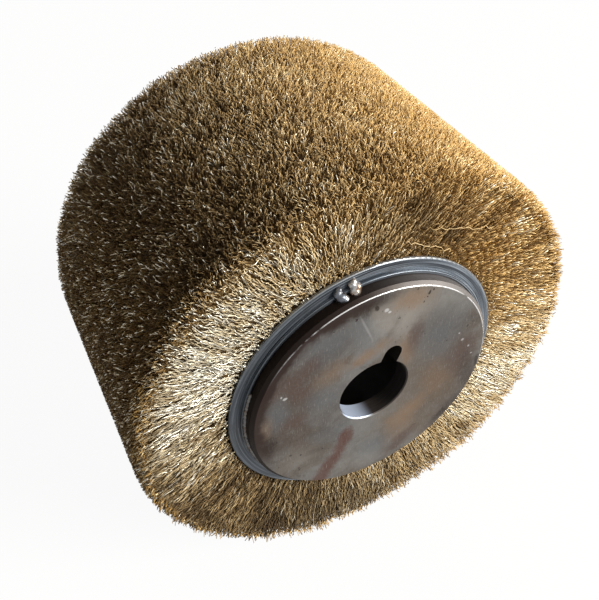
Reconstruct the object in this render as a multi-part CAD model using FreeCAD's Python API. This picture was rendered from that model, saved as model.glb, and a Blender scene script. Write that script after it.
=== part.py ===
import FreeCAD, Part
import math
import os

# Wire drum brush, in millimetres. The drum's axis lies along Y through the origin, which is at
# mid-length. The front end faces -Y, and the drum lies on its wires with +Z up.
# Angles around the axis run from +X towards +Z.

Vector = FreeCAD.Vector

# Shaft bore, and the slot beside it that takes a driving pin
bore_diameter = 40.0
bore_chamfer = 0.7
slot_width = 10.4
slot_reach = 30.7            # from the axis to the far end of the slot
slot_angle = 69.0

# Hollow core: a tube closed by two end plates, with a ground weld in each seam
tube_diameter = 139.7
tube_wall = 6.3
plate_thickness = 10.0
plate_projection = 8.7       # an end plate's face stands this far beyond its side ring's flange
rim_chamfer = 1.9
seam_depth = 2.5

# Side rings that clamp the sections, and the tack welds that hold them to the core
ring_width = 7.85            # from the seat on the core to the ring's outer edge
ring_thickness = 1.8
lip_width = 1.9
lip_height = 1.8
ring_edge_radius = 0.7
lip_edge_radius = 0.5
slip_clearance = 0.15        # radial, between the core and all that slides on it
tack_radius = 3.4
small_tack_radius = 1.9
tack_angles = (98.8, 104.6)
small_tack_angles = (1.4, 287.5)
bead_radius = 1.5
bead_angles = (160.5, 206.3)

# Brush sections: a channel ring that grips wires folded round an anchor ring
section_count = 8
section_width = 18.0
channel_thickness = 1.2
channel_height = 6.5
anchor_wire = 3.0
pack_height = 12.8           # the tightly packed foot of the wires, above the channel's floor

# Wires, as crimped four-sided strands in two staggered rows a section
brush_diameter = 254.0
tip_flare = 5.75             # how far the outermost wires lean out beyond the stack at each end
strands_per_section = 60
strand_rows = 2
strand_root_width = 4.6
strand_tip_width = 6.2
strand_end_width = 3.4       # a strand narrows to this in its last step
trim_unevenness = 2.4        # the shortest strands end this far inside the brush's radius
trim_lengths = 3             # from full length to the shortest, in turn
strand_embed = 2.0
crimp_depth = 1.6
crimp_steps = 6
rest_flat_depth = 0.5        # the drum's weight presses the lowest tips flat

bore_radius = bore_diameter / 2
core_radius = tube_diameter / 2
tip_radius = brush_diameter / 2
seat_radius = core_radius + slip_clearance
floor_radius = seat_radius + channel_thickness
anchor_radius = floor_radius + anchor_wire / 2
pack_radius = floor_radius + pack_height
stack_half = section_count * section_width / 2
flange_face = stack_half + ring_thickness
lip_face = flange_face + lip_height
core_half = flange_face + plate_projection
tube_half = core_half - plate_thickness
row_step = section_width / strand_rows
outer_row = stack_half - row_step / 2
fan = (stack_half + tip_flare - strand_tip_width / 2) / outer_row

origin = Vector(0, 0, 0)
along = Vector(0, 1, 0)


def turned(points):
    """The solid that a closed outline of (radius, y) points sweeps round the axis."""
    outline = [Vector(radius, y, 0) for radius, y in points]
    return Part.Face(Part.makePolygon(outline + outline[:1])).revolve(origin, along, 360)


def turn(shape, angle):
    """Turns a shape round the axis, from +X towards +Z."""
    shape.rotate(origin, along, -angle)
    return shape


def rear(shape):
    """The same piece at the rear end."""
    return shape.mirror(origin, along)


def rounded(shape, size, corners):
    """Rounds the circular edges that pass through the given (radius, y) corners."""
    edges = [
        edge for edge in shape.Edges
        if any(
            math.isclose(math.hypot(point.X, point.Z), radius, abs_tol=0.001)
            and math.isclose(point.Y, y, abs_tol=0.001)
            for radius, y in corners for point in edge.Vertexes[:1]
        )
        and abs(edge.BoundBox.YLength) < 0.001
    ]
    return shape.makeFillet(size, edges)


def driving_slot():
    """A tool that cuts the slot outwards from the axis, with a round far end."""
    end_radius = slot_width / 2
    centre = slot_reach - end_radius
    start = Vector(0, -core_half, -end_radius)
    slab = Part.makeBox(centre, plate_thickness, slot_width, start)
    end = Part.makeCylinder(end_radius, plate_thickness, Vector(centre, -core_half, 0), along)
    return turn(slab.fuse(end), slot_angle)


def front_plate():
    disc = turned([
        (bore_radius + bore_chamfer, -core_half),
        (core_radius - rim_chamfer, -core_half),
        (core_radius, -core_half + rim_chamfer),
        (core_radius, -tube_half - seam_depth),
        (core_radius - seam_depth, -tube_half),
        (bore_radius, -tube_half),
        (bore_radius, -core_half + bore_chamfer),
    ])
    return disc.cut(driving_slot())


def core_tube():
    return turned([
        (core_radius - tube_wall, -tube_half),
        (core_radius - seam_depth, -tube_half),
        (core_radius, -tube_half + seam_depth),
        (core_radius, tube_half - seam_depth),
        (core_radius - seam_depth, tube_half),
        (core_radius - tube_wall, tube_half),
    ])


def front_seam_weld():
    """Fills the groove between the tube and the end plate, ground flush with both."""
    return turned([
        (core_radius - seam_depth, -tube_half),
        (core_radius, -tube_half - seam_depth),
        (core_radius, -tube_half + seam_depth),
    ])


def front_side_ring():
    """A flat flange against the first section, with a raised lip round the core."""
    ring_radius = seat_radius + ring_width
    lip_radius = seat_radius + lip_width
    ring = turned([
        (seat_radius, -stack_half),
        (seat_radius, -lip_face),
        (lip_radius, -lip_face),
        (lip_radius, -flange_face),
        (ring_radius, -flange_face),
        (ring_radius, -stack_half),
    ])
    ring = rounded(ring, ring_edge_radius, [(ring_radius, -flange_face)])
    return rounded(ring, lip_edge_radius, [(seat_radius, -lip_face), (lip_radius, -lip_face)])


def weld_bead():
    """The long bead: a round strip along the corner of core and lip, with round ends."""
    first, last = bead_angles
    centre = Vector(core_radius, -lip_face, 0)
    section = Part.Face(Part.Wire(Part.makeCircle(bead_radius, centre, Vector(0, 0, 1))))
    strip = section.revolve(origin, along, last - first)
    ball = Part.makeSphere(bead_radius, centre)
    return turn(strip.fuse([ball, turn(ball.copy(), first - last)]), last)


def weld_blob(radius, angle):
    """A tack: a round blob in the corner of core and lip."""
    centre = Vector(core_radius + radius / 3, -lip_face - radius / 3, 0)
    return turn(Part.makeSphere(radius, centre), angle)


def front_tack_welds(plate, ring):
    """The tacks and the bead, shaped to the core and the ring that they join."""
    metal = [weld_blob(tack_radius, angle) for angle in tack_angles]
    metal += [weld_blob(small_tack_radius, angle) for angle in small_tack_angles]
    metal.append(weld_bead())
    gap = Part.makeCylinder(seat_radius, lip_face, Vector(0, -lip_face, 0), along)
    return Part.makeCompound([blob.cut([plate, ring, gap]) for blob in metal])


def section_centre(section):
    return (section + 0.5) * section_width - stack_half


def channel(y):
    """A ring with two side walls, open outwards."""
    half = section_width / 2
    inner = half - channel_thickness
    channel_radius = seat_radius + channel_height
    return turned([
        (seat_radius, y - half),
        (channel_radius, y - half),
        (channel_radius, y - inner),
        (floor_radius, y - inner),
        (floor_radius, y + inner),
        (channel_radius, y + inner),
        (channel_radius, y + half),
        (seat_radius, y + half),
    ])


def anchor_ring(y):
    return Part.makeTorus(anchor_radius, anchor_wire / 2, Vector(0, y, 0), along)


def wire_pack(y):
    """The packed foot of the wires, which fills the channel and wraps the anchor ring."""
    half = section_width / 2 - channel_thickness
    loop = anchor_wire / 2
    points = [
        (anchor_radius, y - loop),
        (floor_radius, y - loop),
        (floor_radius, y - half),
        (pack_radius, y - half),
        (pack_radius, y + half),
        (floor_radius, y + half),
        (floor_radius, y + loop),
        (anchor_radius, y + loop),
    ]
    line = Part.makePolygon([Vector(radius, height, 0) for radius, height in points])
    fold = Part.Arc(
        Vector(anchor_radius, y + loop, 0),
        Vector(anchor_radius + loop, y, 0),
        Vector(anchor_radius, y - loop, 0),
    ).toShape()
    return Part.Face(Part.Wire(line.Edges + [fold])).revolve(origin, along, 360)


def strand(angle, y_root, first_bend, trim):
    """A four-sided strand that zigzags across its own line from the pack to the trimmed tip."""
    outward = Vector(math.cos(math.radians(angle)), 0, math.sin(math.radians(angle)))
    sideways = Vector(-outward.z, 0, outward.x)
    root_radius = pack_radius - strand_embed
    levels = []
    for step in range(crimp_steps + 1):
        share = step / crimp_steps
        width = strand_root_width + share * (strand_tip_width - strand_root_width)
        half = (strand_end_width if step == crimp_steps else width) / 2
        bend = first_bend * (-1) ** step * crimp_depth / 2
        centre = outward * (root_radius + share * (tip_radius - trim - root_radius))
        centre += sideways * bend + along * y_root * (1 + share * (fan - 1))
        levels.append([
            centre + sideways * across * half + along * length * half
            for across, length in ((-1, -1), (1, -1), (1, 1), (-1, 1))
        ])
    outlines = [levels[0], levels[-1]]
    for lower, upper in zip(levels, levels[1:]):
        for side in range(4):
            other = (side + 1) % 4
            outlines.append([lower[side], lower[other], upper[other], upper[side]])
    faces = [Part.Face(Part.makePolygon(outline + outline[:1])) for outline in outlines]
    solid = Part.Solid(Part.Shell(faces))
    if solid.Volume < 0:
        solid.reverse()
    return solid


def wires(section):
    """One section's wires, with the tips pressed flat where the drum lies on them."""
    y = section_centre(section)
    pitch = 360 / strands_per_section
    strands = []
    for place in range(strands_per_section):
        row = place % strand_rows
        y_root = y + (row - (strand_rows - 1) / 2) * row_step
        angle = -90 + (place + (section % 2) / 2) * pitch
        trim = trim_unevenness * (place % trim_lengths) / (trim_lengths - 1)
        strands.append(strand(angle, y_root, 1 - 2 * row, trim))
    floor = tip_radius - rest_flat_depth
    side = 2 * tip_radius
    corner = Vector(-tip_radius, -core_half, -floor - side)
    return wire_pack(y).fuse(strands).cut(Part.makeBox(side, 2 * core_half, side, corner))


def build():
    plate = front_plate()
    ring = front_side_ring()
    tacks = front_tack_welds(plate, ring)
    nodes = {
        "core_tube": core_tube(),
        "front_end_plate": plate,
        "rear_end_plate": rear(plate),
        "front_seam_weld": front_seam_weld(),
        "rear_seam_weld": rear(front_seam_weld()),
        "front_side_ring": ring,
        "rear_side_ring": rear(ring),
        "front_tack_welds": tacks,
        "rear_tack_welds": rear(tacks),
    }
    for section in range(section_count):
        name = f"section_{section + 1}"
        y = section_centre(section)
        nodes[name + "_channel"] = channel(y)
        nodes[name + "_anchor_ring"] = anchor_ring(y)
        nodes[name + "_wires"] = wires(section)
    return nodes


os.makedirs("parts", exist_ok=True)
for node, shape in build().items():
    shape.exportStep(f"parts/{node}.step")
    box = shape.BoundBox
    print(f"{node}: {len(shape.Solids)} solids, {shape.Volume / 1000:.2f} cm3, valid {shape.isValid()}")
    for axis, low, high in (("x", box.XMin, box.XMax), ("y", box.YMin, box.YMax), ("z", box.ZMin, box.ZMax)):
        print(f"    {axis} {low:.2f} to {high:.2f}")
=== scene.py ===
# %% [markdown]
# # A wire drum brush
# A drum brush cleans steel or wood as it turns on a shaft. A hollow steel core carries eight rings of
# crimped wire, pushed on side by side and held by a welded ring at each end. The measured model of the
# steel parts and of the wires' outer size is loaded first. The steel keeps its shape and gets its
# finishes here. Only two things are modelled anew: thousands of thin crimped wires in place of the
# plain strands, and weld drops in place of the plain tacks.

# %% Load the measured model
import bpy
import math
import numpy as np
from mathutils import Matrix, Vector, noise


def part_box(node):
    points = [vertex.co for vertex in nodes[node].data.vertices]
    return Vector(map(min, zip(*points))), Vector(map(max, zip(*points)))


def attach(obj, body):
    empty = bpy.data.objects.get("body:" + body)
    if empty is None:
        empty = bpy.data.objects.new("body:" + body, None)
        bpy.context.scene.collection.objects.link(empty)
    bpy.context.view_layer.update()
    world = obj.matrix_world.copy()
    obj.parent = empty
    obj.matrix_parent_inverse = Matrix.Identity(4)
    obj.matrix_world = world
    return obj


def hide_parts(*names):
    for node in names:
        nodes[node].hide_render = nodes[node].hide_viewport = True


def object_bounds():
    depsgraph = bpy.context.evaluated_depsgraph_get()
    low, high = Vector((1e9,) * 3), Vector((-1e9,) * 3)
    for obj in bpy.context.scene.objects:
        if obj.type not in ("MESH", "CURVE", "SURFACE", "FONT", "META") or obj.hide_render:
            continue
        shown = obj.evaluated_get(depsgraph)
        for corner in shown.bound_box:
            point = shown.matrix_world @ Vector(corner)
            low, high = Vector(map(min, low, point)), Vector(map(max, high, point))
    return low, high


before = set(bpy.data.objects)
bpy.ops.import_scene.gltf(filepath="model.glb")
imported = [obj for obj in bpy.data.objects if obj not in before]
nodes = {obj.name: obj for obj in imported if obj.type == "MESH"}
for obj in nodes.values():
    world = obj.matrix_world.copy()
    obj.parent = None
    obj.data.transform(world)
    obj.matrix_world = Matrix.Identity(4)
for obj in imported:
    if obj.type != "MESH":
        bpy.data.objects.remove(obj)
cad_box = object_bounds()
print("the measured model spans", [round(side, 4) for side in cad_box[1] - cad_box[0]], "m")

# %% [markdown]
# The drum's axis lies along Y, the end that faces the viewer looks towards -Y, and Z is up. The outer
# sizes of the steel are read from the model, so the wires fit it at once. The few sizes that no
# outer size shows are named below.

# %% Sizes from the model
mm = 0.001
section_count = sum(name.endswith("_channel") for name in nodes)
core_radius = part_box("core_tube")[1].x
core_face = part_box("rear_end_plate")[1].y
ring_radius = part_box("front_side_ring")[1].x
flange_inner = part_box("section_1_channel")[0].y
channel_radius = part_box("section_1_channel")[1].x
tip_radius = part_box("section_4_wires")[1].x
tip_flare = 5.75 * mm            # how far the outermost wires lean out beyond the stack
tip_span = tip_flare - flange_inner
lip_setback = 6.9 * mm           # from an end plate's face back to its side ring's lip
plate_chamfer = 1.9 * mm
channel_wall = 1.3 * mm          # with a little clearance
anchor_wire = 3 * mm
floor_height = cad_box[0].z
print("core", core_radius, "ring", ring_radius, "channel", channel_radius, "tips", tip_radius)
print("stack ends at", flange_inner, "tips spread to", tip_span, "floor at", floor_height)

# %% [markdown]
# ## Camera
# The drum is seen from above and from the left of its end, close enough for strong perspective. A lens
# of 46 mm keeps the end plate's ellipse and the barrel's taper as they are on the real thing.

# %% Camera
bpy.ops.object.camera_add(location=(-0.1504, -0.2993, 0.3060))
camera = bpy.context.object
camera.rotation_euler = (math.radians(47.18), 0, math.radians(-26.29))
camera.data.lens = 46.11
camera.data.sensor_width = 36
camera.data.clip_start = 0.01
bpy.context.scene.camera = camera
print("camera at", tuple(round(place, 3) for place in camera.location))

# %% [markdown]
# ## Shader arithmetic
# A finish is a net of shader nodes. Written out one by one, such nets are long, so two small classes
# shorten them. A Value is one socket of a node, and adding or multiplying Values adds the Math nodes
# for it. A Finish is a material, with one method that adds any node.

# %% A value that flows between shader nodes
class Value:
    """The output of a shader node, on which the usual arithmetic works."""

    def __init__(self, finish, socket):
        self.finish = finish
        self.socket = socket

    def math(self, operation, first, second):
        return self.finish.node("ShaderNodeMath", {"operation": operation}, {0: first, 1: second})

    def __add__(self, other):
        return self.math("ADD", self, other)

    def __sub__(self, other):
        return self.math("SUBTRACT", self, other)

    def __mul__(self, other):
        return self.math("MULTIPLY", self, other)

    def __rsub__(self, other):
        return self.math("SUBTRACT", other, self)

    def __pow__(self, other):
        return self.math("POWER", self, other)

    __radd__ = __add__
    __rmul__ = __mul__


# %% A finish, which is a material with its nodes
class Finish:
    """The shader nodes of a material, or of the world, which is kept in another library."""

    def __init__(self, name, library=bpy.data.materials):
        self.material = library.new(name)
        self.material.use_nodes = True
        self.tree = self.material.node_tree

    def node(self, kind, settings=None, sockets=None, output=0):
        """Adds a node: its settings first, then the values or links of its sockets."""
        added = self.tree.nodes.new(kind)
        for setting, choice in (settings or {}).items():
            if setting == "stops":
                self.fill_ramp(added.color_ramp, choice)
            else:
                setattr(added, setting, choice)
        self.feed(added, sockets or {})
        return Value(self, added.outputs[output])

    def feed(self, node, sockets):
        for socket, value in sockets.items():
            if isinstance(value, Value):
                self.tree.links.new(value.socket, node.inputs[socket])
            else:
                node.inputs[socket].default_value = value

    def fill_ramp(self, ramp, stops):
        while len(ramp.elements) < len(stops):
            ramp.elements.new(0.5)
        for element, (position, colour) in zip(ramp.elements, stops):
            element.position = position
            element.color = (*colour, 1)

    def shine(self, **sockets):
        """Sets or links sockets of the surface shader, named with _ for each space."""
        surface = self.tree.nodes["Principled BSDF"]
        self.feed(surface, {name.replace("_", " "): value for name, value in sockets.items()})

    def place(self, stretch=(1, 1, 1), shift=(0, 0, 0)):
        """Places on the piece, in metres, moved and then stretched for a pattern."""
        where = self.node("ShaderNodeTexCoord", output=3)
        moved = self.node("ShaderNodeVectorMath", {"operation": "ADD"}, {0: where, 1: shift})
        return self.node("ShaderNodeVectorMath", {"operation": "MULTIPLY"}, {0: moved, 1: stretch})

    def clouds(self, scale, place=None, detail=4.0, roughness=0.55, distortion=0.0):
        """Soft noise around 0.5, with scale in features a metre."""
        sockets = {"Vector": place or self.place(), "Scale": scale, "Detail": detail}
        sockets |= {"Roughness": roughness, "Distortion": distortion}
        return self.node("ShaderNodeTexNoise", sockets=sockets)

    def band(self, value, low, high):
        """0 below low, 1 above high, and a soft step between. A high below low turns it round."""
        ends = {"Value": value, "From Min": low, "From Max": high}
        return self.node("ShaderNodeMapRange", {"interpolation_type": "SMOOTHSTEP"}, ends)

    def blend(self, share, first, second):
        """A colour between two colours."""
        ends = {0: share, 6: padded(first), 7: padded(second)}
        return self.node("ShaderNodeMix", {"data_type": "RGBA"}, ends, output=2)

    def ramp(self, share, *stops):
        """A colour from a row of (position, colour) stops."""
        return self.node("ShaderNodeValToRGB", {"stops": stops}, {"Fac": share})

    def turned_place(self):
        """Radius from the drum's axis, angle round it, and place along it."""
        where = {0: self.node("ShaderNodeTexCoord", output=3)}
        x, y, z = (self.node("ShaderNodeSeparateXYZ", sockets=where, output=axis) for axis in range(3))
        radius = (x * x + z * z) ** 0.5
        angle = x.math("ARCTAN2", z, x)
        return radius, angle, y

    def turning_marks(self, radius, angle, y, across, along, **looks):
        """Noise in fine circles: many features a metre across the cut, hardly any change round it."""
        sockets = {0: radius * across, 1: angle * 1.6, 2: y * along}
        return self.clouds(1.0, self.node("ShaderNodeCombineXYZ", sockets=sockets), **looks)

    def towards(self, angle, degrees, low, high):
        """1 on the drum's side at an angle, 0 on the far side: low and high are cosines."""
        turn = angle - math.radians(degrees)
        return self.band(self.node("ShaderNodeMath", {"operation": "COSINE"}, {0: turn}), low, high)

    def bump(self, height, distance, strength):
        """Fine relief that only the light sees."""
        sockets = {"Height": height, "Distance": distance, "Strength": strength}
        return self.node("ShaderNodeBump", sockets=sockets)


def padded(colour):
    """A plain colour gets its alpha, and a linked one passes as it is."""
    return colour if isinstance(colour, Value) else (*colour, 1)


def dress(names, finish):
    """Gives CAD nodes a finish in all their slots."""
    for name in names:
        for slot in nodes[name].material_slots:
            slot.material = finish.material


# %% [markdown]
# ## Machined steel, stained by heat and handling, with painted light and shade
# The end plates are cut from thick steel, faced on a lathe and left without a coat. Their colour
# wanders between grey and brown, with a burnt band along the rim, tan and rusty tints and a few pits.
# Light and
# shade are painted into the colour too: a painted sheen near the top of the front face, painted shade
# on its left, and painted light and shade on the rim, the wall and the bore. The marks could be painted
# on an image, but it would blur from close by. Here noise at several sizes gives the wandering, and
# each stain or painted patch is a soft oval at its own place on the face, with an uneven edge.

# %% A soft spot
def spot(finish, edge, x, z, wide, tall, lean=0.0):
    """A soft oval on the face at (x, z), in millimetres, its width leaning from +X towards +Z."""
    where = finish.node("ShaderNodeTexCoord", output=3)
    sockets = {"Vector": where, "Location": (x * mm, 0, z * mm), "Scale": (wide * mm, 1, tall * mm)}
    sockets["Rotation"] = (0, -math.radians(lean), 0)
    local = finish.node("ShaderNodeMapping", {"vector_type": "TEXTURE"}, sockets)
    flat = finish.node("ShaderNodeVectorMath", {"operation": "MULTIPLY"}, {0: local, 1: (1, 0, 1)})
    distance = finish.node("ShaderNodeVectorMath", {"operation": "LENGTH"}, {0: flat}, output=1)
    return finish.band(distance + finish.wander, 1 + edge, 1 - edge)


# %% [markdown]
# The plate's noise is shared by its parts. Smoke is the widest and mottle the next, wander makes the
# edges of the spots uneven, and grain is the finest. The face is built up like paint: the clouds
# first, then the stains and the patches of painted sheen and shade in their order, then the grain and
# the scratches.

# %% The face, with its stains and its painted sheen and shade
def marked_face_colour(finish, smoke, mottle, grain, face_marks):
    """The face's colour. Each mark has its colour, strength, softness and ovals: stains, painted sheen,
    painted shade.
    """
    colour = finish.blend(finish.band(smoke, 0.40, 0.62), (0.15, 0.147, 0.142), (0.098, 0.082, 0.068))
    colour = finish.blend(finish.band(mottle, 0.50, 0.68) * 0.5, colour, (0.055, 0.045, 0.04))
    colour = finish.blend(finish.band(mottle, 0.47, 0.30) * 0.4, colour, (0.19, 0.178, 0.168))
    for mark_colour, strength, edge, spots in face_marks:
        for oval in spots:
            colour = finish.blend(spot(finish, edge, *oval) * strength, colour, mark_colour)
    colour = finish.blend(finish.band(grain, 0.4, 0.8) * 0.10, colour, (0.30, 0.28, 0.26))
    scratches = finish.clouds(1.0, finish.place((2600.0, 1.0, 190.0)), detail=2.0, distortion=0.3)
    return finish.blend(finish.band(scratches, 0.58, 0.72) * 0.3, colour, (0.32, 0.31, 0.30))


# %% [markdown]
# Every other part of the plate is found by its radius and its depth below the face: the burnt band
# near the rim, partly a heat stain and partly painted shade, the outer wall with painted light on one
# side and painted shade on the other, the painted highlight where the rim's chamfer starts, and the
# bore, whose turning marks get a painted highlight on one side.

# %% Stained steel with painted light and shade, on rim, wall and bore
def steel_stains_and_painted_light(name, face_marks, painted_shade_side, glint_side):
    """The whole plate's finish, with painted light and shade. The side of painted shade and the side of
    the painted glint are angles in degrees.
    """
    finish = Finish(name)
    radius, angle, y = finish.turned_place()
    depth = core_face - (y * y) ** 0.5
    smoke = finish.clouds(24.0, detail=8.0, roughness=0.6, distortion=0.9)
    aside = finish.place(shift=(0.3, 0, 0.1))
    mottle = finish.clouds(64.0, aside, detail=7.0, roughness=0.6, distortion=0.8)
    grain = finish.clouds(900.0, detail=3.0)
    finish.wander = (finish.clouds(95.0, detail=7.0, roughness=0.72, distortion=0.5) - 0.5) * 2.2
    colour = marked_face_colour(finish, smoke, mottle, grain, face_marks)
    uneven_radius = radius + (mottle - 0.5) * 0.012
    rim = finish.band(uneven_radius, core_radius - 10.5 * mm, core_radius - 4.5 * mm)
    # The burnt band lies on the side of painted shade: partly a heat stain, partly painted shade.
    burnt_band_and_shade = rim * finish.towards(angle, painted_shade_side - 18, 0.4, 0.8)
    colour = finish.blend(burnt_band_and_shade * 0.95, colour, (0.024, 0.013, 0.01))
    specks = finish.band(finish.clouds(430.0, detail=1.0), 0.70, 0.76) * finish.band(smoke, 0.5, 0.62)
    colour = finish.blend(specks * 0.8, colour, (0.02, 0.014, 0.012))
    # Painted light and shade: the outer wall is pale on one side and nearly black on the other.
    wall_colour = finish.blend(
        finish.towards(angle, painted_shade_side, -0.5, 0.5), (0.15, 0.14, 0.138), (0.016, 0.011, 0.009))
    wall = finish.band(depth, 0.05 * mm, 0.3 * mm)
    colour = finish.blend(wall * finish.band(radius, 60 * mm, 65 * mm), colour, wall_colour)
    # Painted highlight: a pale line where the chamfer starts, on the side towards the light.
    chamfer_radius = core_radius - plate_chamfer
    edge = finish.band(radius, chamfer_radius - 0.45 * mm, chamfer_radius - 0.1 * mm)
    edge = edge * finish.band(radius, chamfer_radius + 0.35 * mm, chamfer_radius + 0.1 * mm)
    edge = edge * finish.towards(angle, glint_side, 0.0, 0.7)
    colour = finish.blend(edge * finish.band(mottle, 0.35, 0.5), colour, (0.6, 0.6, 0.61))
    marks = finish.turning_marks(radius, angle, y, 1800.0, 1400.0, detail=2.0)
    bore = wall * finish.band(radius, 45 * mm, 40 * mm)
    bore_colour = finish.blend(marks, (0.018, 0.014, 0.012), (0.08, 0.07, 0.065))
    # Painted highlight: the bore's wall turns pale blue on one side.
    bright = finish.towards(angle, painted_shade_side + 72.0, 0.78, 1.0)
    bore_colour = finish.blend(bright * 0.9, bore_colour, (0.48, 0.56, 0.71))
    colour = finish.blend(bore, colour, bore_colour)
    height = marks * 0.35 + grain * 0.4 + mottle * 0.9
    finish.shine(
        Base_Color=colour, Metallic=0.6, Roughness=0.40 + mottle * 0.2 + grain * 0.06 - edge * 0.15,
        Specular_IOR_Level=0.12,
        Normal=finish.bump(height, 0.0002, 0.5),
    )
    return finish


# %% [markdown]
# A row has its colour, its strength from 0 to 1, how soft its edge is, and its ovals. Each
# oval has its place x and z on the face, its half width and half height in millimetres, and its lean
# in degrees. Most rows are stains. At the front, the first silver row is a painted sheen near the top,
# and the first brown row is partly a stain and partly painted shade on the left. The rear face has
# fewer, at other places.

# %% The stains, and the painted sheen and shade of the front face
rust, umber, tan = (0.085, 0.04, 0.031), (0.045, 0.033, 0.028), (0.20, 0.125, 0.072)
slate, plum, pale = (0.10, 0.108, 0.116), (0.08, 0.053, 0.044), (0.5, 0.5, 0.5)
soot, silver, warm = (0.028, 0.02, 0.016), (0.30, 0.285, 0.262), (0.125, 0.10, 0.076)
smoke_brown = (0.058, 0.044, 0.035)
front_stains_and_painted_light = [
    (warm, 0.7, 0.95, [(34, -8, 24, 34, 20), (20, -38, 20, 16, 0)]),
    # Painted sheen: a paler patch near the top of the face.
    (silver, 0.5, 0.95, [(12, 52, 26, 12, -8), (22, 38, 12, 16, 0)]),
    (silver, 0.25, 0.95, [(-44, -33, 12, 8, -40), (-6, -56, 12, 8, 0)]),
    # Partly a brown stain and partly painted shade, on the left, away from the light.
    (smoke_brown, 0.7, 0.95, [(-48, 16, 22, 38, 25), (-28, 42, 16, 10, 40), (-58, -12, 8, 14, 0)]),
    (smoke_brown, 0.6, 0.95, [(45, -6, 18, 30, 10), (30, 34, 10, 14, 0)]),
    (slate, 0.65, 0.9, [(-27, 47, 15, 9, 35), (-56, 10, 6, 12, 0), (38, 25, 12, 16, 20),
                        (6, -48, 13, 8, 0)]),
    (slate, 0.5, 0.9, [(-10, 48, 5, 12, 15), (-30, 8, 10, 8, 0), (-24, -22, 10, 7, 0)]),
    (tan, 0.65, 0.8, [(-7, 29, 8, 3.5, 20), (17, 58, 9, 6, -10), (17, 23, 4, 9, 10),
                      (22, -30, 13, 6, 40)]),
    (tan, 0.4, 0.9, [(19, -45, 9, 6, 30), (2, 34, 5, 3, 0), (-63, 2, 4, 8, 0), (-26, 26, 9, 6, 30),
                     (40, -12, 9, 14, 20)]),
    (plum, 0.8, 0.8, [(54, 3, 8, 13, 10), (-39, 36, 8, 5, 40), (-45, 22, 6, 10, 20),
                      (-46, 0, 9, 5, 30)]),
    (plum, 0.75, 0.8, [(21, 30, 4, 10, -10), (21, -54, 10, 5, 40), (-57, 28, 5, 8, -30)]),
    (umber, 0.75, 0.8, [(62, -17, 5, 18, 14), (50, -42, 12, 4, 45), (-60, -13, 4, 7, 0)]),
    (soot, 0.85, 0.85, [(-5, 65, 11, 4.5, 5), (-9, 62, 5, 4, 20)]),
    (soot, 0.95, 0.3, [(26.4, 58.5, 0.7, 1.5, -15), (28.5, 59.6, 0.5, 0.7), (25.5, 56, 0.5, 0.5),
                       (-3, 60, 1, 2, 20)]),
    (rust, 0.85, 0.6, [(-15, -29, 3.6, 6, -10), (-18.5, -38, 4, 9, -15), (-24, -48, 4.5, 9, -25),
                       (-30, -59, 5.5, 10, -25)]),
    (pale, 0.7, 0.4, [(2.6, 56.6, 1.2, 1.0), (4.4, 54.6, 0.7, 0.6), (-51, 20, 1.3, 0.9),
                      (-53, 22, 0.6, 0.8)]),
    (pale, 0.5, 0.5, [(53, 14, 0.8, 0.8), (58, 7, 0.6, 0.7), (50, 20, 0.5, 0.6), (61, 0, 0.7, 0.5)]),
    (soot, 0.8, 0.6, [(-60, -12, 4, 6, 0), (-14, 60, 2, 1.5, 0), (47, -44, 5, 2, 45),
                      (66, -8, 1.6, 5, 5)]),
    (pale, 0.2, 0.8, [(-7.5, 48, 0.5, 9, 23)]),
]
rear_stains = [
    (smoke_brown, 0.6, 0.9, [(30, 15, 14, 9, -40), (-20, -30, 10, 6, 30)]),
    (silver, 0.5, 0.9, [(5, 45, 12, 9, 20), (40, -35, 13, 8, 40)]),
    (tan, 0.5, 0.9, [(-24, 20, 7, 5, 50), (-36, -22, 13, 8, 50)]),
    (umber, 0.7, 0.6, [(10, 64, 9, 4, 0), (-58, -20, 4, 10, 15), (50, 40, 4, 9, -40)]),
    (rust, 0.7, 0.5, [(22, -40, 3, 12, 25), (-45, 20, 3.5, 7, -30)]),
]
print("stains:", len(front_stains_and_painted_light), "rows at the front,", len(rear_stains), "at the rear")

# %% Dress the end plates
front_steel = steel_stains_and_painted_light("machined_steel_front", front_stains_and_painted_light, painted_shade_side=165, glint_side=65)
rear_steel = steel_stains_and_painted_light("machined_steel_rear", rear_stains, painted_shade_side=35, glint_side=120)
dress(["front_end_plate"], front_steel)
dress(["rear_end_plate"], rear_steel)
print("end plates:", len(front_steel.tree.nodes), "shader nodes at the front")

# %% [markdown]
# ## Side rings
# The side rings are turned and look blue-grey, so fine marks run round them. Reading the noise by
# radius, with hardly any change along the angle, draws such marks as circles. Their outer edge gets a
# painted highlight on the side that takes the light, and the other side gets painted shade.

# %% Side rings, turned with fine circles
ring_steel = Finish("ring_steel")
radius, angle, y = ring_steel.turned_place()
marks = ring_steel.turning_marks(radius, angle, y, 2200.0, 1500.0, detail=3.0, roughness=0.6)
cast = ring_steel.clouds(38.0, detail=4.0)
ring_colour = ring_steel.ramp(
    marks, (0.34, (0.03, 0.036, 0.046)), (0.5, (0.10, 0.118, 0.142)), (0.64, (0.28, 0.315, 0.355)))
ring_colour = ring_steel.blend(ring_steel.band(cast, 0.5, 0.7) * 0.5, ring_colour, (0.07, 0.064, 0.058))
# Painted highlight along the outer edge, on the side that takes the light.
painted_edge_highlight = ring_steel.band(radius, ring_radius - 0.5 * mm, ring_radius - 0.1 * mm)
painted_edge_highlight = painted_edge_highlight * ring_steel.towards(angle, 50, -0.4, 0.8) * 0.7
ring_colour = ring_steel.blend(painted_edge_highlight, ring_colour, (0.36, 0.37, 0.38))
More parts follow.
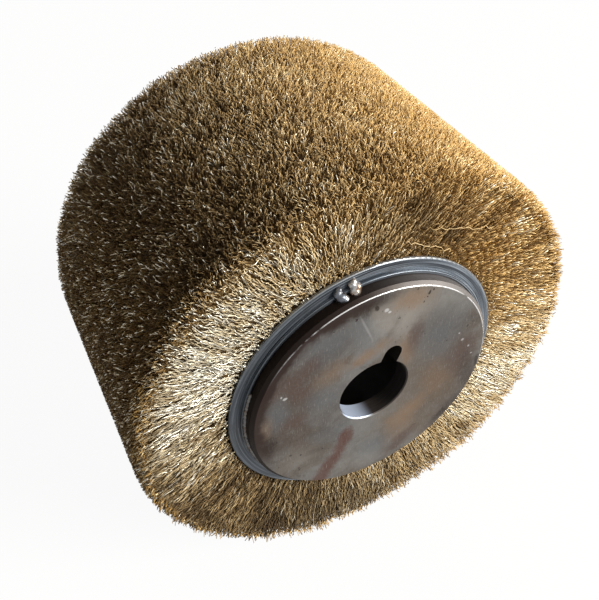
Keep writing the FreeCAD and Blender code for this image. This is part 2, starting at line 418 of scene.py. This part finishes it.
# Painted shade on the side away from the light.
shaded = ring_steel.towards(angle, 185, 0.0, 0.9)
ring_colour = ring_steel.blend(shaded * 0.4, ring_colour, (0.04, 0.042, 0.045))
ring_steel.shine(
    Base_Color=ring_colour, Metallic=0.75, Roughness=0.34 + marks * 0.2,
    Normal=ring_steel.bump(marks, 0.00012, 0.5),
)
dress(["front_side_ring", "rear_side_ring"], ring_steel)

# %% [markdown]
# ## Welds
# The tacks are drops of weld in the corner of core and ring, and further round runs one long bead. A
# drop is never a clean ball. So each large drop here is four balls, each small one is two, the bead is
# a row of little ones, and a remesh melts them into one skin. The metal is bright in places and has
# heat colours in others, and one large drop and the bead are darker.

# %% Weld metal
weld_metal = Finish("weld_metal")
radius, angle, y = weld_metal.turned_place()
ripple = weld_metal.clouds(900.0, detail=3.0)
heat = weld_metal.clouds(240.0, weld_metal.place(shift=(0.1, 0.1, 0.1)), detail=3.0)
weld_colour = weld_metal.ramp(
    heat, (0.3, (0.10, 0.11, 0.13)), (0.5, (0.42, 0.41, 0.40)), (0.62, (0.22, 0.15, 0.10)),
    (0.75, (0.06, 0.06, 0.08)))
blue_drop = weld_metal.towards(angle, 106.5, 0.9988, 0.9992)
weld_colour = weld_metal.blend(blue_drop * 0.85, weld_colour, (0.07, 0.085, 0.11))
bead_side = weld_metal.towards(angle, 183, 0.86, 0.9)
weld_colour = weld_metal.blend(bead_side * 0.8, weld_colour, (0.06, 0.055, 0.052))
weld_metal.shine(
    Base_Color=weld_colour, Metallic=0.85, Roughness=0.2 + ripple * 0.25,
    Normal=weld_metal.bump(ripple, 0.0003, 0.7),
)
dress(["front_seam_weld", "rear_seam_weld"], weld_metal)


# %% The balls of the welds
# Each ball has its angle in degrees, then in mm its distance out from the core, how far it stands
# beyond the ring's lip, and its radius.
large_drops = [
    (105.6, 1.0, 0.6, 2.9), (106.2, 2.6, -0.4, 2.4), (104.6, -0.2, 1.6, 2.3), (105.2, 4.2, -1.2, 1.9),
    (99.6, 0.8, 0.8, 2.8), (98.6, 2.4, 0.2, 2.5), (100.0, 3.9, -0.6, 2.1), (98.9, 4.9, -1.4, 1.5),
]
small_drops = [
    (1.4, 0.6, 0.2, 1.5), (2.1, 1.3, -0.3, 1.1), (287.5, 0.6, 0.2, 1.5), (286.8, 1.5, -0.2, 1.1),
]
bead_start, bead_step, bead_balls = 160.5, 1.15, 41         # the first two are degrees
bead = [
    (bead_start + bead_step * place, 0.2, 0.1, 1.35 + 0.12 * (-1) ** place)
    for place in range(bead_balls)
]
melt_size = 0.38 * mm            # the remesh's grid: small enough to keep the drops apart
print("balls in each end's welds:", len(large_drops + small_drops + bead))


# %% Model the weld drops
def weld_piece(name, side):
    """The tacks and the bead of one end. side is -1 at the front and 1 at the rear."""
    lip_face = core_face - lip_setback
    bpy.ops.object.select_all(action="DESELECT")
    made = []
    for turn, out, beyond, size in large_drops + small_drops + bead:
        place = Vector((math.cos(math.radians(turn)), 0, math.sin(math.radians(turn))))
        place *= core_radius + out * mm
        place.y = side * (lip_face + beyond * mm)
        bpy.ops.mesh.primitive_ico_sphere_add(subdivisions=3, radius=size * mm, location=place)
        made.append(bpy.context.object)
    for ball in made:
        ball.select_set(True)
    bpy.ops.object.join()
    piece = bpy.context.object
    bpy.ops.object.transform_apply(location=True, rotation=True, scale=True)
    melt = piece.modifiers.new("melt", "REMESH")
    melt.mode = "VOXEL"
    melt.voxel_size = melt_size
    soften = piece.modifiers.new("soften", "SMOOTH")
    soften.iterations = 3
    for modifier in ("melt", "soften"):
        bpy.ops.object.modifier_apply(modifier=modifier)
    bpy.ops.object.shade_smooth()
    piece.data.materials.append(weld_metal.material)
    piece.name = name
    return piece


for end, side in (("front", -1), ("rear", 1)):
    piece = weld_piece(f"{end}_weld_drops", side)
    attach(piece, "root")
    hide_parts(f"{end}_tack_welds")
    print(piece.name, len(piece.data.polygons), "faces")

# %% [markdown]
# The tube, the channels and the anchor rings are hidden by the wires and are left as they come from
# the mill: grey steel, with brown where the mill scale is thick. The tube is darker.

# %% Tube, channels and anchor rings
for kind, grey, endings in (
    ("tube_steel", 0.10, ("core_tube",)),
    ("channel_steel", 0.30, ("_channel", "_anchor_ring")),
):
    mill = Finish(kind)
    scale = mill.clouds(60.0, detail=5.0)
    brown = (grey * 0.6, grey * 0.5, grey * 0.42)
    mill_colour = mill.ramp(scale, (0.35, brown), (0.65, (grey, grey, grey)))
    mill.shine(Base_Color=mill_colour, Metallic=0.8, Roughness=0.4 + scale * 0.3,
               Normal=mill.bump(mill.clouds(600.0), 0.0002, 0.5))
    hidden = [name for name in nodes if name.endswith(endings)]
    dress(hidden, mill)
    print(kind, "on", len(hidden), "pieces")

# %% [markdown]
# ## Brass-coated wire
# Each wire is thin steel with a skin of brass. Its crimp makes it glitter: the top of every wave
# catches the light, and the wave's foot lies in the dark between its neighbours. Three numbers are
# stored with each wire. Its tone varies at random, as no two wires have tarnished alike, and it also
# carries painted light and shade that change round the drum. Its reach runs from the packed foot to the
# cut tip, and the finish paints shade where the reach is low. Its bareness tells where the brass has
# rubbed off the steel, and it also carries painted sheen. The finish reads them, runs from dull to
# bright along the tone, and adds patches of its own.

# %% Wire finish
wire_finish = Finish("brass_coated_wire")
tone = wire_finish.node("ShaderNodeAttribute", {"attribute_name": "tone"}, output=2)
reach = wire_finish.node("ShaderNodeAttribute", {"attribute_name": "reach"}, output=2)
bare = wire_finish.node("ShaderNodeAttribute", {"attribute_name": "bare"}, output=2)
patches = wire_finish.clouds(42.0, detail=3.0) - 0.5
shade = tone + patches * 0.4
brass = wire_finish.ramp(
    shade, (0.05, (0.13, 0.085, 0.045)), (0.3, (0.38, 0.24, 0.10)), (0.55, (0.67, 0.43, 0.155)),
    (0.75, (0.76, 0.60, 0.33)), (0.95, (0.86, 0.81, 0.68)))
steel = wire_finish.ramp(
    shade, (0.05, (0.11, 0.088, 0.055)), (0.4, (0.32, 0.265, 0.17)), (0.7, (0.64, 0.58, 0.43)),
    (0.95, (0.88, 0.85, 0.74)))
# Where the brass is rubbed off, and where a painted sheen is wanted, the colour turns to pale steel.
wire_colour = wire_finish.blend(bare, brass, steel)
# Painted shade: a low reach darkens the wire towards its foot, in place of the shade between the wires.
foot = wire_finish.band(reach, 0.85, 0.1)
wire_colour = wire_finish.blend(foot * 0.9, wire_colour, (0.055, 0.027, 0.007))
wire_finish.shine(
    Base_Color=wire_colour, Metallic=wire_finish.band(shade, 0.5, 1.0) * 0.6,
    Roughness=0.45 - tone * 0.15, Specular_IOR_Level=0.08,
)
print("wire finish:", len(wire_finish.tree.nodes), "shader nodes")

# %% [markdown]
# ## One crimped wire
# A crimped wire is a fine rod bent to and fro. It is modelled once as a three-sided rod: a small
# triangle is extruded step by step, and each step moves it to the other side. A few versions with
# uneven waves keep the copies from looking stamped. Their length is one metre, so a copy of them
# can be scaled to any length.

# %% Model the wire
wire_radius = 0.26 * mm
wire_versions = 5
rng = np.random.default_rng(20)
noise.seed_set(4)                # without a seed, the smooth noise is another one on each run


def model_wire(steps, crimp, unevenness):
    """The corners and triangles of a closed three-sided rod up the Z axis, bent at every step."""
    bpy.ops.object.select_all(action="DESELECT")
    bpy.ops.mesh.primitive_circle_add(vertices=3, radius=wire_radius, fill_type="NGON")
    rod = bpy.context.object
    bpy.ops.object.mode_set(mode="EDIT")
    bpy.ops.mesh.select_all(action="SELECT")
    offset = np.zeros(2)
    for step in range(steps):
        bend = np.array([crimp * (-1) ** step / 2, 0]) + rng.normal(0, unevenness, 2)
        shift = (*(bend - offset), 1 / steps)
        bpy.ops.mesh.extrude_region_move(TRANSFORM_OT_translate={"value": shift})
        offset = bend
    bpy.ops.mesh.select_all(action="SELECT")
    bpy.ops.mesh.normals_make_consistent(inside=False)
    bpy.ops.mesh.quads_convert_to_tris()
    bpy.ops.object.mode_set(mode="OBJECT")
    corners = np.array([corner.co for corner in rod.data.vertices])
    triangles = np.array([face.vertices for face in rod.data.polygons])
    bpy.data.objects.remove(rod)
    return corners, triangles


def model_wires(steps, crimp, unevenness=0.12 * mm):
    """Several versions of the wire with the same triangles."""
    models = [model_wire(steps, crimp, unevenness) for version in range(wire_versions)]
    return np.array([corners for corners, triangles in models]), models[0][1]


barrel_models = model_wires(3, 0.85 * mm)
end_models = model_wires(5, 0.75 * mm)
stray_models = model_wires(14, 0.7 * mm, unevenness=0.4 * mm)
models = {"barrel": barrel_models, "end": end_models, "stray": stray_models}
for title, (shapes, triangles) in models.items():
    print(title, "wire:", len(shapes), "versions of", len(triangles), "triangles")

# %% [markdown]
# ## Laying thousands of copies
# Each copy is turned about its own length, set on its root and stretched to its length. Then it is
# swept over by its neighbours, more at the tip than at the foot. Neighbours lean alike, because the
# lean comes from smooth noise, and so the wires gather in tufts with dark gaps between.

# %% Place the copies
def smooth(points, size, seed):
    """Smooth noise at each point, a vector in -1 to 1, with features about size across."""
    shift = Vector((seed * 3.7, seed * 1.3, seed * 7.1))
    return np.array([noise.noise_vector(Vector(point) / size + shift) for point in points])


def spread(count):
    """Pairs in 0 to 1, scattered without the holes that chance leaves."""
    return (np.arange(count)[:, None] * (0.7548777, 0.5698403) + rng.uniform(0, 1, 2)) % 1


def unit(vectors):
    return vectors / np.linalg.norm(vectors, axis=1)[:, None]


def lay(models, roots, outward, lengths, sweep, tones, bares_and_sheen, reach_from):
    """Points and triangles of the wires, with the tone, bareness and reach of every corner.

    Tone and bareness carry painted light and sheen as well as real tarnish and wear. A wire's reach
    runs from reach_from at its foot to 1 at its tip, and the finish paints shade where it is low."""
    shapes, triangles = models
    count, corners = len(roots), shapes.shape[1]
    local = shapes[rng.integers(len(shapes), size=count)]
    spin = rng.uniform(0, 2 * math.pi, (count, 1))
    left = local[..., 0] * np.cos(spin) - local[..., 1] * np.sin(spin)
    front = local[..., 0] * np.sin(spin) + local[..., 1] * np.cos(spin)
    up = local[..., 2]
    sideways = unit(np.cross(outward, (0, -1, 0)))
    forward = np.cross(outward, sideways)
    points = roots[:, None] + left[..., None] * sideways[:, None] + front[..., None] * forward[:, None]
    points += (up * lengths[:, None])[..., None] * outward[:, None]
    points += (up ** 1.4)[..., None] * sweep[:, None]
    reaches = reach_from + (1 - reach_from) * up
    faces = (triangles[None] + corners * np.arange(count)[:, None, None]).reshape(-1, 3)
    looks = {"tone": np.repeat(tones, corners), "bare": np.repeat(bares_and_sheen, corners), "reach": reaches}
    return points, faces, looks


trim_margin = 0.1 * mm           # wires end this far inside the drum's radius
end_margin = 1.5 * mm            # and may stand this far beyond the ends


def trim(points):
    """Keeps the wires inside the drum's outer size and above the floor that it lies on."""
    out = np.hypot(points[..., 0], points[..., 2])
    over = np.minimum(1, (tip_radius - trim_margin) / out)
    points[..., 0] *= over
    points[..., 2] *= over
    points[..., 1] = np.clip(points[..., 1], -tip_span - end_margin, tip_span + end_margin)
    points[..., 2] = np.maximum(points[..., 2], floor_height)
    return points


def wire_piece(name, points, faces, looks):
    """A mesh object from the laid wires, with their looks stored on the corners."""
    mesh = bpy.data.meshes.new(name)
    flat = np.ascontiguousarray(trim(points).reshape(-1, 3), dtype=np.float32)
    mesh.vertices.add(len(flat))
    mesh.vertices.foreach_set("co", flat.reshape(-1))
    mesh.loops.add(faces.size)
    mesh.loops.foreach_set("vertex_index", np.ascontiguousarray(faces.reshape(-1), dtype=np.int32))
    mesh.polygons.add(len(faces))
    mesh.polygons.foreach_set("loop_start", np.arange(0, faces.size, 3, dtype=np.int32))
    for title, values in looks.items():
        stored = mesh.attributes.new(title, "FLOAT", "POINT")
        stored.data.foreach_set("value", np.ascontiguousarray(values.reshape(-1), dtype=np.float32))
    mesh.update(calc_edges=True)
    mesh.validate()
    mesh.shade_smooth()
    mesh.materials.append(wire_finish.material)
    piece = bpy.data.objects.new(name, mesh)
    bpy.context.scene.collection.objects.link(piece)
    return piece


# %% [markdown]
# ## The packed foot of each section
# Deep in the brush the wires are pressed so tight that they read as one dark mass. That mass is a
# ring with the channel's foot, spun from its outline, and the loose wires grow out of it. Most of its
# darkness is the painted shade of the wires' foot.

# %% Spin the packed foot
loose_radius = 121.5 * mm
end_gap = 4.5 * mm               # the outer sections' mass ends this far below the end's surface
pitch = -2 * flange_inner / section_count
fan_start = channel_radius + 7.5 * mm        # below this radius the wires stand straight


def flare(radius):
    """How far the stack has fanned out at a radius, where 1 is its width at the channels."""
    share = np.clip((radius - fan_start) / (tip_radius - fan_start), 0, 1)
    return 1 + share * (tip_span / -flange_inner - 1)


def packed_foot(section):
    """A ring in the channel and above it, with the outer sections cut back at the drum's ends."""
    centre = (section + 0.5) * pitch + flange_inner
    half = pitch / 2
    top = flare(loose_radius)
    near = end_gap if section == 0 else 0
    far = end_gap if section == section_count - 1 else 0
    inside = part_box("section_1_anchor_ring")[1].x - anchor_wire
    profile = [
        (inside, centre - half + channel_wall), (channel_radius, centre - half + channel_wall),
        (channel_radius + 0.3 * mm, centre - half + 0.1 * mm + near / 2),
        (loose_radius, (centre - half) * top + near), (loose_radius, (centre + half) * top - far),
        (channel_radius + 0.3 * mm, centre + half - 0.1 * mm - far / 2),
        (channel_radius, centre + half - channel_wall), (inside, centre + half - channel_wall),
    ]
    bpy.ops.object.select_all(action="DESELECT")
    bpy.ops.mesh.primitive_circle_add(vertices=len(profile), radius=1)
    foot = bpy.context.object
    for corner, (out, y) in zip(foot.data.vertices, profile):
        corner.co = (out, y, 0)
    bpy.ops.object.mode_set(mode="EDIT")
    bpy.ops.mesh.select_all(action="SELECT")
    bpy.ops.mesh.spin(steps=96, angle=2 * math.pi, center=(0, 0, 0), axis=(0, 1, 0))
    bpy.ops.mesh.select_all(action="SELECT")
    bpy.ops.mesh.remove_doubles(threshold=0.00001)
    bpy.ops.mesh.normals_make_consistent(inside=False)
    bpy.ops.object.mode_set(mode="OBJECT")
    # A low reach gives the mass the painted shade of the wires' foot.
    for title, value in (("tone", 0.35), ("bare", 0.0), ("reach", 0.3)):
        stored = foot.data.attributes.new(title, "FLOAT", "POINT")
        stored.data.foreach_set("value", [value] * len(foot.data.vertices))
    foot.data.materials.append(wire_finish.material)
    return foot


# %% [markdown]
# ## Wires of the barrel
# Only the outer part of a wire shows on the barrel, so each copy starts in the packed foot and runs
# outwards. The tips aren't all trimmed to one height: whole tufts end a little short of it.
#
# Light and shade are painted into the wires round the drum. The tone gets painted light and shade, so
# that wires that lie across the light are paler than those that point at it. The bareness, where the
# brass is rubbed off more on some sides, also gets painted sheen. The reach sets how deep the painted
# shade between the wires goes, shallower on the lit side. Each change is a mark: an amount at an angle,
# fading over a width.

# %% What the wires of barrel and ends share
corner_size = 9.0 * mm           # the round edge where the barrel meets an end
tuft_size = 8 * mm               # wires this close together lean alike


def rounding(past):
    """How far a quarter round of corner_size has dropped at a distance past its start."""
    past = np.clip(past, 0, corner_size)
    return corner_size - np.sqrt(corner_size ** 2 - past ** 2 * 0.97)


def glints(count, part):
    """Painted glints: 0 for most wires, and 0.2 to 0.45 for the part of them that shines."""
    return (rng.random(count) < part) * rng.uniform(0.2, 0.45, count)


def beside(angles, degrees, width):
    """1 at an angle round the axis, fading over a width, in degrees."""
    apart = (np.degrees(angles) - degrees + 180) % 360 - 180
    return np.exp(-(apart / width) ** 2)


def marked(base, angles, marks):
    """A base value with marks added round the axis, each given as (amount, degrees, width)."""
    for amount, degrees, width in marks:
        base = base + amount * beside(angles, degrees, width)
    return base


# %% Lay the barrel's wires
wires_per_section = 8300
wire_start = 119.5 * mm
drift_size = 30 * mm             # neighbouring tufts drift the same way over this distance
tuft_lean, drift_lean, own_lean = 2.4, 2.2, 1.7          # mm at the tip
longest_cut = 4 * mm             # the most that a tip ends short, apart from the round edge
# Painted light on the barrel: barrel_shining is the part of the wires that get painted glints, and the
# marks below paint light and shade into the tone, move the glints round the drum, and set the painted
# shade between the wires.
barrel_tone, barrel_shining = 0.44, 0.18                 # the second is a part of all the wires
barrel_painted_light = [(0.06, 90, 20), (-0.06, 130, 22), (-0.28, 20, 16)]
barrel_glints = [(-0.9, 60, 45), (0.4, 128, 28)]
barrel_gap_shading = [(0.3, 40, 30), (-0.2, 128, 30)]


def barrel_wires(section):
    """The loose wires of one section."""
    count = wires_per_section
    centre = (section + 0.5) * pitch + flange_inner
    turn, across = spread(count).T
    angles = (turn + rng.normal(0, 0.001, count)) * 2 * math.pi
    y_stack = centre + (across - 0.5) * pitch
    outward = np.stack([np.cos(angles), np.zeros(count), np.sin(angles)], 1)
    roots = outward * wire_start
    roots[:, 1] = y_stack * flare(wire_start)
    at_tip = outward * tip_radius
    at_tip[:, 1] = y_stack * flare(tip_radius)
    clumps = smooth(at_tip, tuft_size, 1)
    crowd = smooth(at_tip, drift_size, 2)
    short = 0.6 * mm + 1.0 * mm * clumps[:, 1] + rng.normal(0, 0.6 * mm, count)
    short = np.clip(short, 0, longest_cut)
    short += rounding(np.abs(at_tip[:, 1]) - (tip_span - corner_size))
    lengths = tip_radius - wire_start - short
    sweep = clumps * tuft_lean * mm + crowd * drift_lean * mm
    sweep += rng.normal(0, own_lean * mm, (count, 3))
    sweep -= outward * np.sum(sweep * outward, 1)[:, None]
    sweep[:, 1] += y_stack * (flare(tip_radius) - flare(wire_start))
    # Painted glints, fewer on the lit side and more on the shaded top.
    bright = glints(count, barrel_shining) * marked(1, angles, barrel_glints)
    # Painted light and shade in the tone: paler towards 40 degrees on the lit side, with the marks
    # round the drum.
    tones = barrel_tone + 0.13 * clumps[:, 1] + 0.17 * beside(angles, 40, 30)
    tones = tones + rng.normal(0, 0.08, count) + bright + marked(0, angles, barrel_painted_light)
    tones = np.clip(tones, 0, 1)
    # Bareness: the painted glints, and a painted grey sheen towards 113 degrees.
    bares_and_sheen = np.clip(0.2 * bright + 0.35 * beside(angles, 113, 35), 0, 1)
    # The painted shade between the wires is lighter on the lit side and deeper on the shaded top.
    reach_from = marked(0.35, angles, barrel_gap_shading)[:, None]
    return lay(barrel_models, roots, outward, lengths, sweep, tones, bares_and_sheen, reach_from)


for section in range(section_count):
    title = f"section_{section + 1}"
    piece = wire_piece(title + "_wire_tufts", *barrel_wires(section))
    foot = packed_foot(section)
    bpy.ops.object.select_all(action="DESELECT")
    foot.select_set(True)
    piece.select_set(True)
    bpy.context.view_layer.objects.active = piece
    bpy.ops.object.join()
    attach(piece, "root")
    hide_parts(title + "_wires")
    print(piece.name, len(piece.data.polygons), "faces")

# %% [markdown]
# ## Wires of the ends
# At each end the outermost wires lean out past the side ring, as nothing holds them there. Each one
# reaches the surface at its own radius and shows only its last 13 mm, so an end looks like a pelt
# that is combed outwards. Near the ring the wires lean out of the end's plane by some 24 degrees. At
# the rim they lean out by 11, and meet the barrel's wires in a soft round edge. On one side, where
# they are pushed over, they lean out by up to 18 degrees more.

# %% Lay the end wires
wires_per_end = 7700
ring_gap = 77.3 * mm             # end wires start from about this radius, at the side ring's edge
shortest_length = 3 * mm
end_length = 13 * mm
start_depth = 0.8 * mm           # at the channels the surface lies this far inside the stack's end
ring_lean, rim_lean, pushed_lean = 24, 11, 18            # degrees out of the end's plane
tuft_tilt, own_tilt = 7, 6                               # uneven by so much, in degrees
tuft_turn, drift_turn, own_turn = 16, 14, 7              # degrees to either side of the radius
end_drift_size = 35 * mm
fine_size = 5 * mm               # wires this close together share their small bends
# Painted light on the ends: end_shining is the part of the wires that get painted glints, and the marks
# below paint light and shade into the tone, sheen into the bareness as well as rubbed brass, and set
# the painted shade between the wires.
end_tone, end_shining = 0.54, 0.15
# Painted light: the tone makes an end's wires palest at this angle.
palest = math.radians(150)       # an end's wires are palest here, and less so opposite
end_painted_light = [
    (0.06, 115, 20), (-0.10, 195, 25), (-0.16, 250, 26), (-0.05, 85, 18),
    (0.05, 335, 18), (-0.05, 300, 20), (-0.12, 215, 22),
]
rim_painted_light = [(0.22, 350, 22), (0.3, 50, 35)]
end_bareness_and_sheen = [(0.85, 155, 52), (0.6, 265, 50), (0.5, 338, 30)]
end_gap_shading = [(0.35, 55, 35), (-0.2, 210, 35)]


def end_surface(radius):
    """How far from mid-length the end's surface lies at a radius."""
    share = np.clip((radius - channel_radius) / (tip_radius - channel_radius), 0, 1)
    face = -flange_inner - start_depth + (tip_span + flange_inner + start_depth) * share ** 0.6
    return face - rounding(radius - (tip_radius - corner_size))


def end_wires(inner, outer, count, side):
    """Wires whose tips lie between two radii of an end. side is -1 at the front and 1 at the rear."""
    turn, across = spread(count).T
    angles = turn * 2 * math.pi
    tips_out = np.sqrt(inner ** 2 + across * (outer ** 2 - inner ** 2))
    share = (tips_out - channel_radius) / (tip_radius - channel_radius)
    radial = np.stack([np.cos(angles), np.zeros(count), np.sin(angles)], 1)
    around = np.cross(radial, (0, 1, 0))
    tips = radial * tips_out[:, None]
    streaks = radial * 100 * mm
    streaks[:, 1] = tips_out * 0.35
    clumps = smooth(streaks, tuft_size, 3)
    crowd = smooth(tips, end_drift_size, 4)
    uneven = 1.0 * mm * clumps[:, 1] + rng.normal(0, 0.5 * mm, count)
    tips[:, 1] = side * (end_surface(tips_out) + uneven)
    tilt = ring_lean + (rim_lean - ring_lean) * share + pushed_lean * beside(angles, 30, 60)
    tilt = np.radians(tilt + tuft_tilt * clumps[:, 2] + rng.normal(0, own_tilt, count))
    lean = tuft_turn * clumps[:, 0] + drift_turn * crowd[:, 0] + rng.normal(0, own_turn, count)
    lean = np.radians(lean)
    outward = radial * (np.cos(tilt) * np.cos(lean))[:, None]
    outward += around * (np.cos(tilt) * np.sin(lean))[:, None]
    outward[:, 1] = side * np.sin(tilt)
    lengths = np.clip((tips_out - ring_gap) / np.cos(tilt), shortest_length, end_length)
    roots = tips - outward * lengths[:, None]
    sweep = smooth(tips, fine_size, 5) * 1.6 * mm
    sweep -= outward * np.sum(sweep * outward, 1)[:, None]
    rim = np.clip((share - 0.6) / 0.4, 0, 1)
    # Painted light and shade in the tone: paler where the wires lie across the light, lighter or darker
    # by the marks round the end, and at the rim.
    painted_light_level = 0.17 * np.cos(2 * (angles - palest)) + 0.06 * np.cos(angles - palest)
    painted_light_level = marked(painted_light_level, angles, end_painted_light) + rim * marked(0, angles, rim_painted_light)
    painted_light_level += (1 - 0.6 * rim) * 0.1 * beside(angles, 152, 20)
    painted_light_level += 0.1 * beside(angles, 58, 20) * np.clip(2 * share - 0.6, 0, 1)
    # Painted glints, fewer on the lit side.
    bright = glints(count, end_shining) * (1 - 0.6 * beside(angles, 60, 30))
    tones = end_tone + painted_light_level - 0.15 * rim + 0.22 * clumps[:, 1] + bright
    tones += rng.normal(0, 1, count) * (0.12 + 0.07 * beside(angles, 190, 45))
    # Bareness: rubbed brass, with painted sheen at the marks round the end.
    bares_and_sheen = marked(0.5 * bright, angles, end_bareness_and_sheen) + 0.35 * beside(angles, 80, 22) * (1 - rim)
    tones, bares_and_sheen = np.clip(tones, 0, 1), np.clip(bares_and_sheen, 0, 1)
    # The painted shade between the wires is lighter on the lit side and deeper at the lower left.
    reach_from = marked(0.4, angles, end_gap_shading)[:, None]
    return lay(end_models, roots, outward, lengths, sweep, tones, bares_and_sheen, reach_from)


middle_radius = math.sqrt((ring_radius ** 2 + tip_radius ** 2) / 2)
for end, side in (("front", -1), ("rear", 1)):
    for title, inner, outer in (
        ("inner_wires", ring_radius + 1 * mm, middle_radius),
        ("outer_wires", middle_radius, tip_radius - 0.5 * mm),
    ):
        piece = wire_piece(f"{end}_{title}", *end_wires(inner, outer, wires_per_end // 2, side))
        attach(piece, "root")
        print(piece.name, len(piece.data.polygons), "faces")

# %% [markdown]
# A few wires have worked loose, as on any used brush. They are wavy and lie across the others: eight
# on the barrel, and two on each end.

# %% Lay the stray wires
barrel_stray_count = 8
stray_length = 15 * mm
stray_lift = 0.6 * mm            # above the surface of an end
stray_tone, stray_bareness, stray_reach = 0.58, 0.4, 0.95
end_strays = [(73, 95, 52, 102), (81, 89, 60, 84)]     # degrees and mm of one tip, then of the other


def barrel_strays(count):
    """Tips of loose wires that lie on the barrel in all directions."""
    turn, across = spread(count).T
    angles = turn * 2 * math.pi
    radial = np.stack([np.cos(angles), np.zeros(count), np.sin(angles)], 1)
    around = np.cross(radial, (0, 1, 0))
    heading = rng.uniform(0, 2 * math.pi, (count, 1))
    middle = radial * tip_radius
    middle[:, 1] = (across - 0.5) * 1.8 * tip_span
    half = (around * np.cos(heading) + np.array((0, 1, 0)) * np.sin(heading)) * stray_length / 2
    return middle - half, middle + half


def on_end(degrees, out, side):
    """A place on the surface of an end, from its angle and its radius in mm."""
    turn = math.radians(degrees)
    reach = side * (end_surface(out * mm) + stray_lift)
    return np.array((out * mm * math.cos(turn), reach, out * mm * math.sin(turn)))


firsts, seconds = (list(tips) for tips in barrel_strays(barrel_stray_count))
for side in (-1, 1):
    for first_angle, first_out, second_angle, second_out in end_strays:
        firsts.append(on_end(first_angle, first_out, side))
        seconds.append(on_end(second_angle, second_out, side))
firsts, seconds = np.array(firsts), np.array(seconds)
lengths = np.linalg.norm(seconds - firsts, axis=1)
count = len(firsts)
piece = wire_piece("stray_wires", *lay(
    stray_models, firsts, unit(seconds - firsts), lengths, rng.normal(0, 1 * mm, (count, 3)),
    np.full(count, stray_tone), np.full(count, stray_bareness), stray_reach))
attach(piece, "root")
print(piece.name, len(piece.data.polygons), "faces")

# %% [markdown]
# ## Floor and light
# The drum lies on a plain pale floor. The floor is mostly its own white where the camera, a gloss or
# a glass looks at it, and the rest takes the soft shadow. One large lamp stands on the right in front,
# a little above the drum. A weak one shines over the rear rim, a low one lights the rear end, and the
# white room fills in.

# %% Floor
bpy.ops.object.select_all(action="DESELECT")
bpy.ops.mesh.primitive_plane_add(size=8, location=(0, 0, floor_height))
floor = bpy.context.object
floor.name = "studio_floor"
paper = Finish("floor_paper")
white_share = 0.94               # of what is seen directly, the rest is left to the shadow


def seen_directly(finish):
    """1 where the camera, a gloss or a glass looks, and 0 for the light that spreads."""
    kinds = ("Is Camera Ray", "Is Glossy Ray", "Is Transmission Ray")
    direct, gloss, glass = (finish.node("ShaderNodeLightPath", output=kind) for kind in kinds)
    return direct.math("MAXIMUM", direct, direct.math("MAXIMUM", gloss, glass))


paper_colour = paper.blend(seen_directly(paper), (0.08, 0.07, 0.06), (0.9, 0.9, 0.9))
matt = paper.node("ShaderNodeBsdfDiffuse", sockets={"Color": paper_colour})
glow = paper.node("ShaderNodeEmission", sockets={"Color": (1, 1, 1, 1), "Strength": 1.0})
shares = {0: seen_directly(paper) * white_share, 1: matt, 2: glow}
mixed = paper.node("ShaderNodeMixShader", sockets=shares)
paper.feed(paper.tree.nodes["Material Output"], {"Surface": mixed})
floor.data.materials.append(paper.material)

# %% Light
sky = Finish("white_room", bpy.data.worlds)
bpy.context.scene.world = sky.material
background = sky.tree.nodes["Background"]
room_light = 0.06                # what the white room adds to the lamps
strength = seen_directly(sky) * white_share + room_light
sky.feed(background, {"Color": (1, 1, 1, 1), "Strength": strength})


def lamp(name, place, size, energy, colour):
    """A round soft lamp that points at the drum."""
    bpy.ops.object.light_add(type="AREA", location=place)
    made = bpy.context.object
    made.name = name
    made.data.shape = "DISK"
    made.data.size = size
    made.data.energy = energy
    made.data.color = colour
    made.rotation_euler = (-made.location).to_track_quat("-Z", "Y").to_euler()


lamp("key_lamp", (1.84, -1.84, 1.08), 1.6, 178, (1.0, 0.96, 0.90))
lamp("rim_lamp", (0.5, 1.3, 2.2), 0.8, 4, (1.0, 0.93, 0.88))
lamp("back_lamp", (0.75, 2.9, 0.25), 0.7, 70, (1.0, 0.97, 0.93))
bpy.context.scene.view_settings.view_transform = "Standard"
